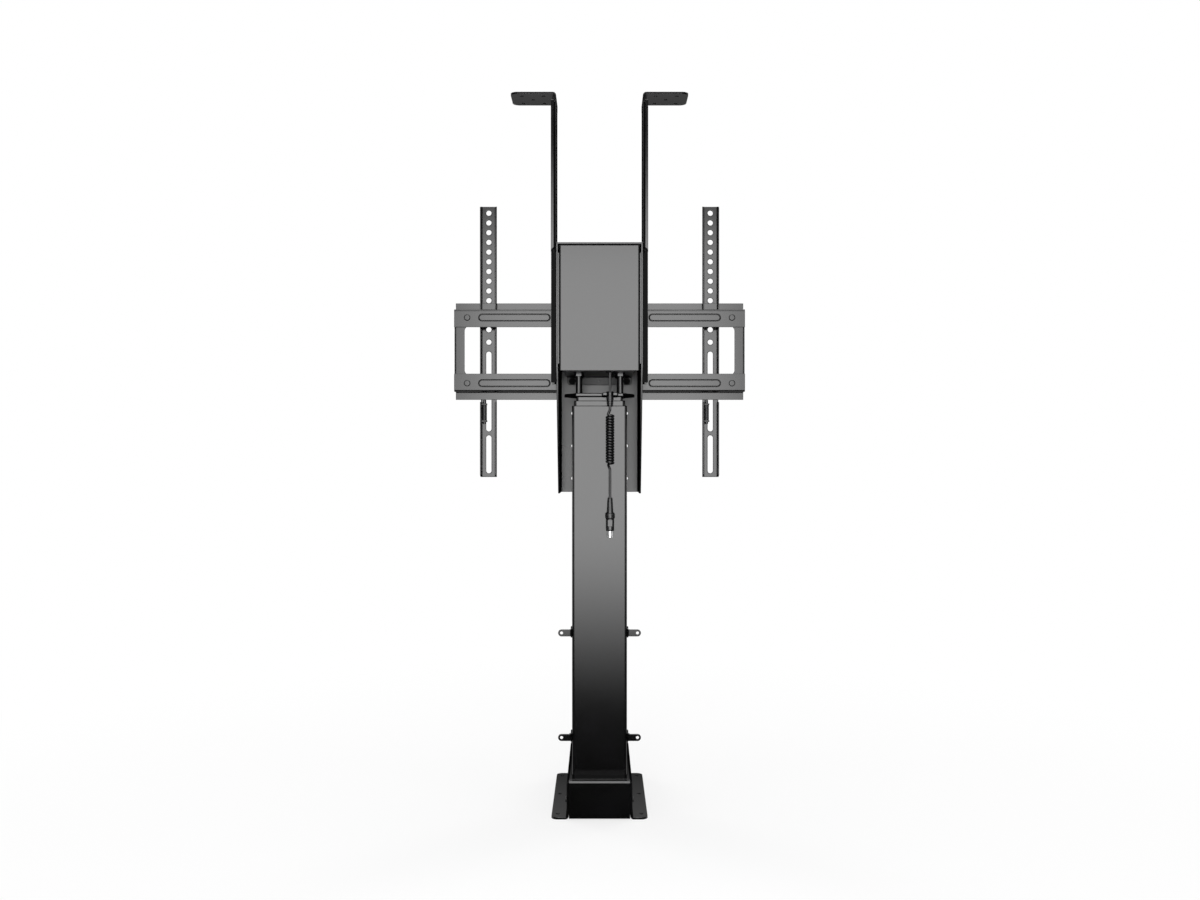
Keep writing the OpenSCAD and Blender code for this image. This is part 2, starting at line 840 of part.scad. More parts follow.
module flange_tip_outline() {
  h = inner_w / 2 + 0.7;
  d = flange_d / 2;
  c = flange_tip_w / 2 - flange_tip_r;
  a = touch_angle(h - c, d, flange_tip_r);
  x = c + flange_tip_r * cos(a);
  y = flange_tip_r * sin(a);
  polygon([[-h, -d], [h, -d], [x, -y], [x, y], [h, d], [-h, d], [-x, y], [-x, -y]]);
  for (s = [-1, 1])
    translate([s * c, 0])
      circle(r = flange_tip_r);
}

module column_flange_plate() {
  tab_w = 22;
  tab_d = column_y - flange_d / 2 - cord_y + 6;
  neck = gland_neck_d + hole_gap;
  color(black_steel)
    difference() {
      along_z(inner_top, flange_top) {
        translate([0, column_y])
          flange_tip_outline();
        translate([cord_x - tab_w / 2, cord_y - 6])
          square([tab_w, tab_d + over]);
      }
      rod_z(cord_x, cord_y, neck, inner_top - over, flange_top + over);
      translate([cord_x - neck / 2, cord_y - 6 - over, inner_top - over])
        cube([neck, 6 + over, flange_t + 2 * over]);
    }
}

module carriage_standoffs() {
  z = flange_top + standoff_h;
  color(bright_steel)
    for (x = [-1, 1])
      for (y = [-1, 1])
        translate([x * standoff_dx / 2, column_y + y * standoff_dy / 2, 0]) {
          rod_z(0, 0, standoff_d, flange_top, z);
          translate([0, 0, z - 5])
            cylinder(d = 15, h = 5, $fn = 6);
          rod_z(0, 0, stud_d, z - over, z + bracket_t + 6);
          translate([0, 0, z + bracket_t])
            cylinder(d = 11.5, h = 5, $fn = 6);
        }
}

module drive_motor() {
  color(dark_plastic)
    translate([0, column_y, 0])
      rod_z(0, 0, motor_d, motor_bottom, inner_top);
}

module gearbox() {
  w = motor_d;
  color(bronze)
    translate([0, column_y, 0])
      difference() {
        along_z(gearbox_bottom, motor_bottom)
          round_rect(w, w, 6);
        rod_z(0, 0, solid_spindle_d + 2 * spindle_run, gearbox_bottom - over, gearbox_bottom + spindle_seat);
      }
}

module inner_spindle() {
  color(bright_steel)
    rod_z(0, column_y, solid_spindle_d, inner_bottom + 25, gearbox_bottom + spindle_seat - 0.3);
}

// Carriage
module carriage_bracket() {
  t = bracket_t;
  z = bracket_top - t / 2;
  leg_bottom = bracket_top - bracket_leg;
  color(black_steel)
    difference() {
      intersection() {
        along_x(bracket_w)
          folded_sheet([[front_y + 5, z], [back_y - t / 2, z], [back_y - t / 2, leg_bottom]], t, small_fold_r);
        along_y(2 * base_d)
          translate([0, bracket_top])
            round_rect(bracket_w, 2 * bracket_leg, 5);
      }
      for (x = [-1, 1])
        rod_y(x * carriage_bolt_dx / 2, carriage_bolt_z, carriage_bolt_d + 2 * hole_gap, back_y - 2 * t, back_y + over);
      rod_y(0, carriage_bolt_z, 3, back_y - 2 * t, back_y + over);
      for (x = [-1, 1])
        for (y = [-1, 1])
          rod_z(x * standoff_dx / 2, column_y + y * standoff_dy / 2, stud_d + 2 * hole_gap, bracket_top - 2 * t, bracket_top + over);
      rod_z(cord_x, cord_y, 10, bracket_top - 2 * t, bracket_top + over);
    }
}

module carriage_bracket_bolts() {
  color(bright_steel)
    for (x = [-1, 1])
      bolt_y(x * carriage_bolt_dx / 2, carriage_bolt_z, carriage_bolt_d, back_y - bracket_t, rail_y + rail_t);
}

module carriage_channel() {
  t = channel_t;
  x = channel_x + t / 2;
  y = back_y + t / 2;
  color(black_steel)
    difference() {
      union() {
        intersection() {
          along_z(channel_bottom, channel_top)
            folded_sheet([[-x, front_y], [-x, y], [x, y], [x, front_y]], t, small_fold_r);
          along_x(3 * channel_x)
            polygon([
              [front_y, channel_knee_z], [front_y, channel_top], [back_y + t, channel_top],
              [back_y + t, channel_bottom], [back_y - channel_foot_d, channel_bottom]
            ]);
        }
        translate([-channel_x - t / 4, front_y, channel_top - t])
          cube([2 * channel_x + t / 2, back_y - front_y + t / 4, t]);
      }
      for (s = [-1, 1]) {
        for (i = [0 : 2])
          rod_y(s * back_hole_dx / 2, back_hole_top - i * back_hole_dz, back_hole_d, back_y - over, back_y + t + over);
        for (z = [-1, 1])
          rod_y(s * carriage_bolt_dx / 2, rail_mid_z + z * rail_bolt_z, carriage_bolt_d + 2 * hole_gap, back_y - over, back_y + t + over);
        for (i = [0 : 1])
          rod_x(lid_mid_y, lid_bolt_height(i), lid_bolt_d + 2 * hole_gap, s * x - t, s * x + t);
      }
    }
}

// Housing
module housing_cover() {
  t = cover_t;
  x = cover_x - t / 2;
  y = front_y + t / 2;
  color(black_steel) {
    along_z(cover_bottom, cover_top)
      folded_sheet([[-x, front_y + cover_lip], [-x, y], [x, y], [x, front_y + cover_lip]], t, small_fold_r);
    translate([-cover_x + t / 4, front_y + t / 4, cover_top - t])
      cube([2 * cover_x - t / 2, cover_lip - t / 4, t]);
  }
}

module cover_edge_strips() {
  color(black_rubber)
    for (s = [0, 1])
      mirror([s, 0, 0])
        translate([cover_x, front_y + small_fold_r + cover_t, cover_bottom + strip_inset])
          cube([cover_side_gap, cover_lip - small_fold_r - cover_t, cover_top - cover_bottom - 2 * strip_inset]);
}

module control_box() {
  color(dark_plastic)
    translate([0, back_y - control_d / 2, 0])
      along_z(control_z, control_z + control_h)
        round_rect(control_w, control_d, 3);
}

// Lid brackets
function lid_bolt_height(i) = bracket_top + lid_bolt_rise + i * lid_bolt_dz;

module lid_bracket() {
  t = lid_t;
  x = channel_out + t / 2;
  x_lip = channel_out + lid_lip;
  y0 = front_y + t / 2;
  y1 = front_y + lid_d - t / 2;
  z_relief = lid_top - t - fold_r - 6;
  difference() {
    union() {
      difference() {
        along_z(lid_knee_z, z_relief)
          folded_sheet([[x_lip, y0], [x, y0], [x, y1], [x_lip, y1]], t, small_fold_r);
        rod_y(channel_out, lid_knee_z, 2 * lid_lip, front_y - over, front_y + t);
      }
      along_z(lid_bottom, lid_knee_z + lid_lip) {
        folded_sheet([[x, y0 + t / 2], [x, y1], [x_lip, y1]], t, small_fold_r);
        polygon([
          [channel_out, front_y], [x_lip, front_y + lid_lip], [x_lip - t, front_y + lid_lip + t],
          [channel_out + t, front_y + 2 * t], [channel_out, front_y + 2 * t]
        ]);
      }
      intersection() {
        translate([0, lid_mid_y, 0])
          along_y(lid_d)
            folded_sheet([[x, z_relief - t], [x, lid_top - t / 2], [channel_out + lid_plate_w, lid_top - t / 2]], t, fold_r);
        translate([channel_out + lid_plate_w - 60, lid_mid_y, 0])
          along_z(z_relief - 2 * t, lid_top + over)
            round_rect(120, lid_d, lid_plate_r);
      }
    }
    for (i = [0 : 1])
      rod_x(lid_mid_y, lid_bolt_height(i), lid_bolt_d + 2 * hole_gap, channel_out - over, channel_out + t + over);
    rod_z(lid_hole_x, lid_mid_y, lid_hole_d, lid_top - t - over, lid_top + over);
    for (sx = [-1, 1])
      for (sy = [-1, 1])
        rod_z(lid_hole_x + sx * lid_hole_dx / 2, lid_mid_y + sy * lid_hole_dy / 2, lid_hole_d, lid_top - t - over, lid_top + over);
  }
}

module lid_bracket_left() {
  color(black_steel)
    mirror([1, 0, 0])
      lid_bracket();
}

module lid_bracket_right() {
  color(black_steel)
    lid_bracket();
}

module lid_bracket_bolts() {
  x0 = channel_x;
  x1 = channel_out + lid_t;
  color(bright_steel)
    for (s = [0, 1])
      for (i = [0 : 1])
        mirror([s, 0, 0]) {
          rod_x(lid_mid_y, lid_bolt_height(i), lid_bolt_d, x0 - 5, x1 + 0.5);
          rod_x(lid_mid_y, lid_bolt_height(i), 2 * lid_bolt_d, x1, x1 + 3);
          translate([x0 - 5, lid_mid_y, lid_bolt_height(i)])
            rotate([0, 90, 0])
              cylinder(d = 11.5, h = 5, $fn = 6);
        }
}

// Television rails
module vesa_rail() {
  t = rail_t;
  y0 = rail_y + t / 2;
  y1 = lip_y - t / 2;
  z = rail_ledge / 2 - t / 2;
  slot_mid = (rail_slot_in + rail_slot_out) / 2;
  slot_l = rail_slot_out - rail_slot_in;
  difference() {
    along_x(rail_l)
      folded_sheet([[y0, rail_gap / 2], [y0, z], [y1, z], [y1, rail_over / 2]], t, rail_fold_r);
    for (s = [-1, 1]) {
      translate([s * slot_mid, rail_y, rail_slot_dz / 2])
        slot_groove(slot_l, rail_slot_h, groove_w);
      rod_y(s * rivet_x, rail_slot_dz / 2, rivet_d + 2 * hole_gap, rail_y - over, rail_y + t + over);
      rod_y(s * carriage_bolt_dx / 2, rail_bolt_z, carriage_bolt_d + 2 * hole_gap, rail_y - over, rail_y + t + over);
    }
  }
}

module vesa_top_rail() {
  color(black_steel)
    translate([0, 0, rail_mid_z])
      vesa_rail();
}

module vesa_bottom_rail() {
  color(black_steel)
    translate([0, 0, rail_mid_z])
      mirror([0, 0, 1])
        vesa_rail();
}

module vesa_end_plate() {
  t = end_plate_t;
  y0 = rail_y + rail_t;
  h = rail_ledge / 2 - rail_t - rail_fold_r;
  x_in = rivet_x - rivet_head_d;
  x_open = rail_l / 2 - end_plate_w;
  translate([0, 0, rail_mid_z])
    difference() {
      along_z(-h, h)
        folded_sheet([[x_in, y0 + t / 2], [rail_l / 2 - t / 2, y0 + t / 2], [rail_l / 2 - t / 2, lip_y - rail_t - 0.3]], t, rail_fold_r);
      translate([x_open - 20, y0 + t / 2, 0])
        along_y(2 * t)
          round_rect(40, rail_gap + 4, 8);
      for (z = [-1, 1])
        rod_y(rivet_x, z * rail_slot_dz / 2, rivet_d + 2 * hole_gap, y0 - over, y0 + t + over);
    }
}

module vesa_end_plate_left() {
  color(black_steel)
    mirror([1, 0, 0])
      vesa_end_plate();
}

module vesa_end_plate_right() {
  color(black_steel)
    vesa_end_plate();
}

module vesa_rivets() {
  y1 = rail_y + rail_t + end_plate_t;
  color(black_steel)
    for (x = [-1, 1])
      for (z = [-1, 1])
        translate([0, 0, rail_mid_z + z * rail_slot_dz / 2]) {
          rod_y(x * rivet_x, 0, rivet_head_d, rail_y - 2, rail_y);
          rod_y(x * rivet_x, 0, rivet_d, rail_y - over, y1 + over);
          rod_y(x * rivet_x, 0, rivet_head_d, y1, y1 + 2);
        }
}

module rail_bolts() {
  color(bright_steel)
    for (x = [-1, 1])
      bolt_y(x * carriage_bolt_dx / 2, rail_mid_z + rail_bolt_z, carriage_bolt_d, back_y, rail_y + rail_t);
}

// Television arms, hooked over the top rail's lip
module vesa_arm() {
  t = arm_t;
  w = arm_w / 2 - t / 2;
  y0 = web_y + t - arm_d;
  z_web = rail_mid_z + rail_ledge / 2;
  z_lip = rail_mid_z + rail_over / 2;
  g = arm_gap;
  difference() {
    union() {
      along_z(arm_bottom, arm_top)
        folded_sheet([[-w, y0], [-w, web_y + t / 2], [w, web_y + t / 2], [w, y0]], t, rail_fold_r);
      difference() {
        for (z = [barrel_bottom - latch_ear_t, barrel_top])
          translate([-arm_w / 2 + t / 2, latch_y - 5, z])
            cube([arm_w / 2 - t / 2 - 2.3, web_y - latch_y + 5.5, latch_ear_t]);
        rod_z(-latch_side, latch_y, pin_d + 2 * pin_gap, barrel_bottom - 2 * latch_ear_t, barrel_top + 2 * latch_ear_t);
      }
    }
    for (i = [0 : arm_holes - 1])
      rod_y(0, arm_top - arm_hole_end - i * arm_hole_pitch, arm_hole_d, web_y - over, web_y + t + over);
    rod_y(0, arm_top - arm_single, arm_hole_d, web_y - over, web_y + t + over);
    for (i = [0 : 2])
      translate([0, web_y + t / 2, arm_bottom + arm_slot_end + arm_slot_l / 2 + i * arm_slot_pitch])
        along_y(t)
          rotate(90)
            slot_outline(arm_slot_l, arm_hole_d);
    along_x(2 * arm_w) {
      polygon([
        [y0 - over, arm_top - arm_end_cut], [web_y - rail_fold_r, arm_top],
        [web_y - rail_fold_r, arm_top + over], [y0 - over, arm_top + over]
      ]);
      polygon([
        [y0 - over, arm_bottom + arm_end_cut], [web_y - rail_fold_r, arm_bottom],
        [web_y - rail_fold_r, arm_bottom - over], [y0 - over, arm_bottom - over]
      ]);
    }
    translate([-arm_w, y0 - over, z_web - rail_t - g])
      cube([2 * arm_w, web_y - y0 + over, rail_t + 2 * g]);
    translate([-arm_w, lip_y - rail_t - g, z_web - rail_t])
      cube([2 * arm_w, web_y - lip_y + rail_t + g, z_lip - z_web + rail_t + g]);
    translate([-arm_w, y0 - over, rail_bottom - 4])
      cube([2 * arm_w, web_y - y0 + over, z_lip - z_web + rail_t + 4 + g]);
  }
}

module vesa_arm_left() {
  color(black_steel)
    translate([-arm_x, 0, 0])
      vesa_arm();
}

module vesa_arm_right() {
  color(black_steel)
    translate([arm_x, 0, 0])
      vesa_arm();
}

// Latches
module latch_barrel(x) {
  color(dark_plastic)
    translate([x - latch_side, latch_y, barrel_bottom])
      difference() {
        cylinder(d = barrel_d, h = barrel_l);
        translate([0, 0, -over])
          cylinder(d = pin_d + 2 * pin_gap, h = barrel_l + 2 * over);
      }
}

module latch_barrel_left() {
  latch_barrel(-arm_x);
}

module latch_barrel_right() {
  latch_barrel(arm_x);
}

module latch_pin(x) {
  color(bright_steel)
    rod_z(x - latch_side, latch_y, pin_d, pin_bottom, pin_top);
}

module latch_pin_left() {
  latch_pin(-arm_x);
}

module latch_pin_right() {
  latch_pin(arm_x);
}

// Round tube swept along a route, with its frame carried from ring to ring
module swept_tube(p, d, sides) {
  n = len(p);
  t = [for (i = [0 : n - 1]) unit(p[min(i + 1, n - 1)] - p[max(i - 1, 0)])];
  u = [for (i = 0, v = [1, 0, 0]; i < n; i = i + 1, v = i < n ? unit(v - t[i] * (v * t[i])) : v) v];
  pts = [for (i = [0 : n - 1])
    for (j = [0 : sides - 1])
      let (a = 360 * j / sides)
        p[i] + d / 2 * (cos(a) * u[i] + sin(a) * cross(t[i], u[i]))];
  walls = [for (i = [0 : n - 2])
    for (j = [0 : sides - 1])
      let (a = i * sides + j, b = i * sides + (j + 1) % sides)
        for (f = [[a, a + sides, b + sides], [a, b + sides, b]])
          f];
  last = (n - 1) * sides;
  ends = concat(
    [for (j = [1 : sides - 2]) [0, j, j + 1]],
    [for (j = [1 : sides - 2]) [last, last + j + 1, last + j]]
  );
  polyhedron(points = pts, faces = concat(walls, ends));
}

// Cord
module cord_grommet() {
  z0 = bracket_top - bracket_t;
  color(black_rubber)
    translate([cord_x, cord_y, 0])
      rotate_extrude()
        polygon([
          [cord_d / 2 + 0.1, z0 - 1.2], [5.6, z0 - 1.2], [6.5, z0], [5, z0], [5, bracket_top],
          [6.5, bracket_top], [5.6, bracket_top + 1.2], [cord_d / 2 + 0.1, bracket_top + 1.2]
        ]);
}

module housing_lead() {
  color(black_rubber)
    swept_tube(lead_path, cord_d, 8);
}

// Strain relief: a ribbed tail below the flange plate, a neck in its slot and a collar above
module cord_gland() {
  rib = (inner_top - gland_bottom) / gland_ribs;
  rib_points = [for (i = [0 : gland_ribs - 1])
    let (z = gland_bottom + i * rib, r = 4.25 + 1.25 * i / (gland_ribs - 1))
      for (q = [[r, z], [r, z + rib * 0.62], [r - 1, z + rib * 0.62], [r - 1, z + rib]])
        q];
  color(black_rubber)
    translate([cord_x, cord_y, 0])
      rotate_extrude()
        polygon(concat(
          [[0, gland_bottom]],
          rib_points,
          [[5.5, inner_top], [gland_neck_d / 2, inner_top], [gland_neck_d / 2, flange_top], [5.5, flange_top], [5, gland_top], [0, gland_top]]
        ));
}

module cord_neck() {
  color(black_rubber)
    rod_z(cord_x, cord_y, cord_d, neck_bottom, gland_bottom);
}

module curly_cord() {
  color(black_rubber)
    swept_tube(coil_path, cord_d, coil_sides);
}

module cord_lead() {
  color(black_rubber)
    rod_z(cord_x, cord_y, cord_d, lead_bottom, coil_bottom);
}

module plug_boot() {
  color(black_rubber)
    translate([cord_x, cord_y, boot_bottom])
      cylinder(d1 = 9.4, d2 = 7, h = boot_l);
}

module plug_body() {
  z = plug_bottom;
  r = plug_d / 2;
  color(dark_plastic)
    translate([cord_x, cord_y, z])
      difference() {
        rotate_extrude()
          polygon([[0, 0], [r - 1.6, 0], [r - 1.1, 1], [r - 1.1, 17.5], [r, 19], [r, 24.2], [r - 1, plug_l], [0, plug_l]]);
        translate([-3.4, -r - over, 7])
          cube([6.8, 3, 9]);
        translate([-1.2, -r - over, 2])
          cube([2.4, 2.6, 6]);
      }
}

module plug_shell() {
  color([0.8, 0.8, 0.82])
    translate([cord_x, cord_y, plug_bottom - shell_l])
      difference() {
        cylinder(d = shell_d, h = shell_l);
        translate([0, 0, -over])
          cylinder(d = shell_d - 1, h = shell_l + 2 * over);
      }
}

module plug_insert() {
  color(dark_plastic)
    translate([cord_x, cord_y, plug_bottom]) {
      mirror([0, 0, 1])
        cylinder(d = shell_d - 1, h = 4);
      for (a = [0 : 45 : 180])
        rotate(a)
          translate([2.5, 0, -shell_l + 1])
            cylinder(d = 1, h = shell_l - 4, $fn = 16);
    }
}

base_frame();
base_front_cover();
base_rear_cover();
base_foot_plate();
base_cover_screws();
outer_column_tube();
outer_glide_ring();
wall_ear_upper_left();
wall_ear_upper_right();
wall_ear_lower_left();
wall_ear_lower_right();
wall_ear_screws();
lower_support_tube();
lower_spindle_nut();
middle_column_tube();
middle_glide_shoe();
middle_glide_ring();
middle_end_plate();
middle_support_tube();
spindle_bearing();
upper_spindle_nut();
outer_spindle();
inner_column_tube();
inner_glide_shoe();
column_flange_plate();
carriage_standoffs();
carriage_bracket();
carriage_bracket_bolts();
carriage_channel();
housing_cover();
cover_edge_strips();
control_box();
drive_motor();
gearbox();
inner_spindle();
lid_bracket_left();
lid_bracket_right();
lid_bracket_bolts();
vesa_top_rail();
vesa_bottom_rail();
vesa_end_plate_left();
vesa_end_plate_right();
vesa_rivets();
rail_bolts();
vesa_arm_left();
vesa_arm_right();
latch_barrel_left();
latch_barrel_right();
latch_pin_left();
latch_pin_right();
cord_grommet();
housing_lead();
cord_gland();
cord_neck();
curly_cord();
cord_lead();
plug_boot();
plug_body();
plug_shell();
plug_insert();
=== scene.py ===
# Television lift, lowered, seen from the front. Metres, +Z up, the camera on the -Y side.
import bpy, math
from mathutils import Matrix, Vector
from mathutils.geometry import interpolate_bezier


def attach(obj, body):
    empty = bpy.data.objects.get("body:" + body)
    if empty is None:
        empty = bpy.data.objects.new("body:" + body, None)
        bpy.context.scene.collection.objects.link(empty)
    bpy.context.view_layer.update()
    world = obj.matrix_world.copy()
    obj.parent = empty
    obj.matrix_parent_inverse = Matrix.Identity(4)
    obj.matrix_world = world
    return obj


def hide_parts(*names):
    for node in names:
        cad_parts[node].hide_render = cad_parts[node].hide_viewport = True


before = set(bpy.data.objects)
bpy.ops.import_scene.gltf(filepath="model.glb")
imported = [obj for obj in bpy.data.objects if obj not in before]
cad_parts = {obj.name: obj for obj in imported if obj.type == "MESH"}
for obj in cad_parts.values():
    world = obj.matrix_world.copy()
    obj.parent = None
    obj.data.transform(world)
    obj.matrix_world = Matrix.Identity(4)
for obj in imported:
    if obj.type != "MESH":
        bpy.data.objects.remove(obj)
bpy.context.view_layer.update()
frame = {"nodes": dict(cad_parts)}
nodes = frame["nodes"]
scene = bpy.context.scene
scene.view_settings.view_transform = "Standard"
mmPerMetre = 1000
white = (1.0, 1.0, 1.0, 1.0)


def linearColour(hexText):
    # sRGB hex to the linear values that shaders take
    channels = [int(hexText[i:i + 2], 16) / 255 for i in (1, 3, 5)]
    linear = [c / 12.92 if c <= 0.04045 else ((c + 0.055) / 1.055) ** 2.4 for c in channels]
    return (*linear, 1.0)


def addNode(tree, kind, settings=None, links=None):
    # settings are properties or sockets' values; a link starts at a socket or at a node's first output
    node = tree.nodes.new(kind)
    for name, value in (settings or {}).items():
        if isinstance(name, str) and hasattr(node, name):
            setattr(node, name, value)
        else:
            node.inputs[name].default_value = value
    for name, source in (links or {}).items():
        socket = source.outputs[0] if isinstance(source, bpy.types.Node) else source
        tree.links.new(socket, node.inputs[name])
    return node


def newTree(owner):
    owner.use_nodes = True
    owner.node_tree.nodes.clear()
    return owner.node_tree


def newObject(name, data):
    obj = bpy.data.objects.new(name, data)
    scene.collection.objects.link(obj)
    return obj


# camera, level with the middle of the column as in the photograph
cameraView = {
    "place": (0.0007, -1.817, 0.528),
    "tilt": 90,
    "lens": 35.69,
    "sensor": 36.0,
}
cameraData = bpy.data.cameras.new("camera")
cameraData.lens = cameraView["lens"]
cameraData.sensor_width = cameraView["sensor"]
cameraData.sensor_fit = "HORIZONTAL"
camera = newObject("camera", cameraData)
camera.location = cameraView["place"]
camera.rotation_euler = (math.radians(cameraView["tilt"]), 0, 0)
scene.camera = camera
print("camera placed")


# materials: a look gives sRGB colours and sizes in millimetres, and what it doesn't say is as in this one
everyLook = {
    "cloudDetail": 3.0,
    "grainDetail": 2.0,
    "driftSpan": (0.35, 0.65),  # the cloud's values between which dark passes into light
    "metallic": 0.0,
    "specular": 0.5,
    "edgeSamples": 6,
}


def driftingColour(tree, look, cloud):
    ramp = addNode(tree, "ShaderNodeValToRGB", links={"Fac": cloud})
    tones = zip(ramp.color_ramp.elements, look["driftSpan"], (look["dark"], look["light"]))
    for element, position, colour in tones:
        element.position = position
        element.color = linearColour(colour)
    return ramp


def shineLevel(tree, look):
    # fine grain shades itself at a low angle, so the shine is lost between two facing values
    facing = addNode(tree, "ShaderNodeLayerWeight", {"Blend": 0.5}).outputs["Facing"]
    level = addNode(tree, "ShaderNodeMapRange", {
        "interpolation_type": "SMOOTHSTEP",
        "From Min": look["shineLost"][0], "From Max": look["shineLost"][1],
        "To Min": look["specular"], "To Max": 0.0}, {"Value": facing})
    if "foldShadeSlant" not in look:
        return level
    # painted shade: an upright fold faces neither x nor y alone, and the larger its normal's x times y,
    # the more of its shine is taken off
    normal = addNode(tree, "ShaderNodeNewGeometry").outputs["Normal"]
    side = addNode(tree, "ShaderNodeSeparateXYZ", links={"Vector": normal}).outputs
    slant = addNode(tree, "ShaderNodeMath", {"operation": "MULTIPLY"}, {0: side["X"], 1: side["Y"]})
    turned = addNode(tree, "ShaderNodeMath", {"operation": "ABSOLUTE"}, {0: slant})
    foldShade = addNode(tree, "ShaderNodeMapRange", {
        "From Min": look["foldShadeSlant"][0], "From Max": look["foldShadeSlant"][1],
        "To Min": 1.0, "To Max": look["foldShine"]}, {"Value": turned})
    return addNode(tree, "ShaderNodeMath", {"operation": "MULTIPLY"}, {0: level, 1: foldShade})


def surfaceMaterial(name, ownLook):
    # colour and roughness drift with a cloud of noise, and a finer noise gives the grain
    look = {**everyLook, **ownLook}
    material = bpy.data.materials.new(name)
    tree = newTree(material)
    place = addNode(tree, "ShaderNodeTexCoord").outputs["Object"]
    cloud = addNode(tree, "ShaderNodeTexNoise", {
        "Scale": mmPerMetre / look["cloudMm"], "Detail": look["cloudDetail"]}, {"Vector": place})
    grain = addNode(tree, "ShaderNodeTexNoise", {
        "Scale": mmPerMetre / look["grainMm"], "Detail": look["grainDetail"]}, {"Vector": place})
    rough = addNode(tree, "ShaderNodeMapRange", {
        "To Min": look["roughness"][0], "To Max": look["roughness"][1]}, {"Value": cloud})
    relief = {"Height": grain}
    if "edgeMm" in look:
        # sharp edges catch the light as if rounded to this radius
        relief["Normal"] = addNode(tree, "ShaderNodeBevel", {
            "samples": look["edgeSamples"], "Radius": look["edgeMm"] / mmPerMetre})
    bump = addNode(tree, "ShaderNodeBump", {"Distance": look["bumpMm"] / mmPerMetre}, relief)
    finish = {"Base Color": driftingColour(tree, look, cloud), "Roughness": rough, "Normal": bump}
    if "shineLost" in look:
        finish["Specular IOR Level"] = shineLevel(tree, look)
    shader = addNode(tree, "ShaderNodeBsdfPrincipled", {
        "Metallic": look["metallic"], "Specular IOR Level": look["specular"]}, finish)
    addNode(tree, "ShaderNodeOutputMaterial", links={"Surface": shader})
    return material


# Polyester powder coat, sprayed and baked: jet black, even, with a faint orange peel and a half gloss
powderCoatLook = {"dark": "#070707", "light": "#0a0a0b", "cloudMm": 60, "grainMm": 1.6, "bumpMm": 0.0003,
                  "roughness": (0.12, 0.15), "shineLost": (0.3, 0.76), "edgeMm": 1.1}
# The same coat on the channel's wide web: less smooth, so its sheen is broader
channelCoatLook = {**powderCoatLook, "roughness": (0.26, 0.3), "specular": 0.6}
# The same coat on the lid brackets, with painted shade that takes the shine off their upright folds
lidCoatLook = {**powderCoatLook, "foldShadeSlant": (0.1, 0.3), "foldShine": 0.15, "edgeMm": 0.9}
# The same coat on the screen arms, drawn round a wider edge
armCoatLook = {**powderCoatLook, "edgeMm": 2.0}
# The same coat left coarse on the thick bracket: a broad soft sheen
bracketCoatLook = {"dark": "#070707", "light": "#0a0a0b", "cloudMm": 20, "grainMm": 1.6, "bumpMm": 0.002,
                   "roughness": (0.32, 0.4), "edgeMm": 1.5}
# Zinc-plated steel, tumbled: dull silver with a soft bloom
zincLook = {"dark": "#8d8f92", "light": "#b3b5b8", "cloudMm": 5, "grainMm": 0.5, "bumpMm": 0.004,
            "roughness": (0.3, 0.42), "metallic": 1.0}
# Blackened steel, turned, dipped and oiled: black with a narrow gleam
blackenedLook = {"dark": "#0b0b0c", "light": "#151516", "cloudMm": 4, "grainMm": 0.6, "bumpMm": 0.002,
                 "roughness": (0.14, 0.2), "shineLost": (0.3, 0.76)}
# Phosphated steel, cold headed: matt charcoal black
phosphateLook = {"dark": "#0c0c0c", "light": "#191919", "cloudMm": 3, "grainMm": 0.4, "bumpMm": 0.01,
                 "roughness": (0.5, 0.62), "specular": 0.35}
# The same phosphated steel with painted shade: darker and with less shine, nearly black
shadedPhosphateLook = {**phosphateLook, "dark": "#060606", "light": "#0a0a0a", "specular": 0.1}
# Nickel-plated brass, drawn: bright and smooth
nickelLook = {"dark": "#d9dadb", "light": "#eeeeee", "cloudMm": 6, "grainMm": 0.4, "bumpMm": 0.001,
              "roughness": (0.14, 0.2), "metallic": 1.0}
# ABS, moulded in a spark-eroded tool: dark grey and satin
absLook = {"dark": "#1c1c1d", "light": "#242425", "cloudMm": 9, "grainMm": 0.45, "bumpMm": 0.02,
           "roughness": (0.42, 0.52), "specular": 0.4}
# Acetal, moulded: black and waxy
acetalLook = {"dark": "#101011", "light": "#161617", "cloudMm": 12, "grainMm": 0.8, "bumpMm": 0.006,
              "roughness": (0.35, 0.42)}
# Bronze, turned: warm metal with fine tool marks
bronzeLook = {"dark": "#8a6a3c", "light": "#a98650", "cloudMm": 4, "grainMm": 0.4, "bumpMm": 0.004,
              "roughness": (0.3, 0.4), "metallic": 1.0}
# Polyurethane, extruded as the cord's jacket: black with a tight gleam along each curl
jacketLook = {"dark": "#0c0c0d", "light": "#111112", "cloudMm": 7, "grainMm": 0.5, "bumpMm": 0.004,
              "roughness": (0.12, 0.16), "specular": 0.6, "shineLost": (0.06, 0.42)}
# Soft PVC, moulded: black, half matt, slightly dusty
pvcLook = {"dark": "#111112", "light": "#1a1a1b", "cloudMm": 6, "grainMm": 0.5, "bumpMm": 0.01,
           "roughness": (0.2, 0.28), "specular": 0.6, "shineLost": (0.06, 0.42)}

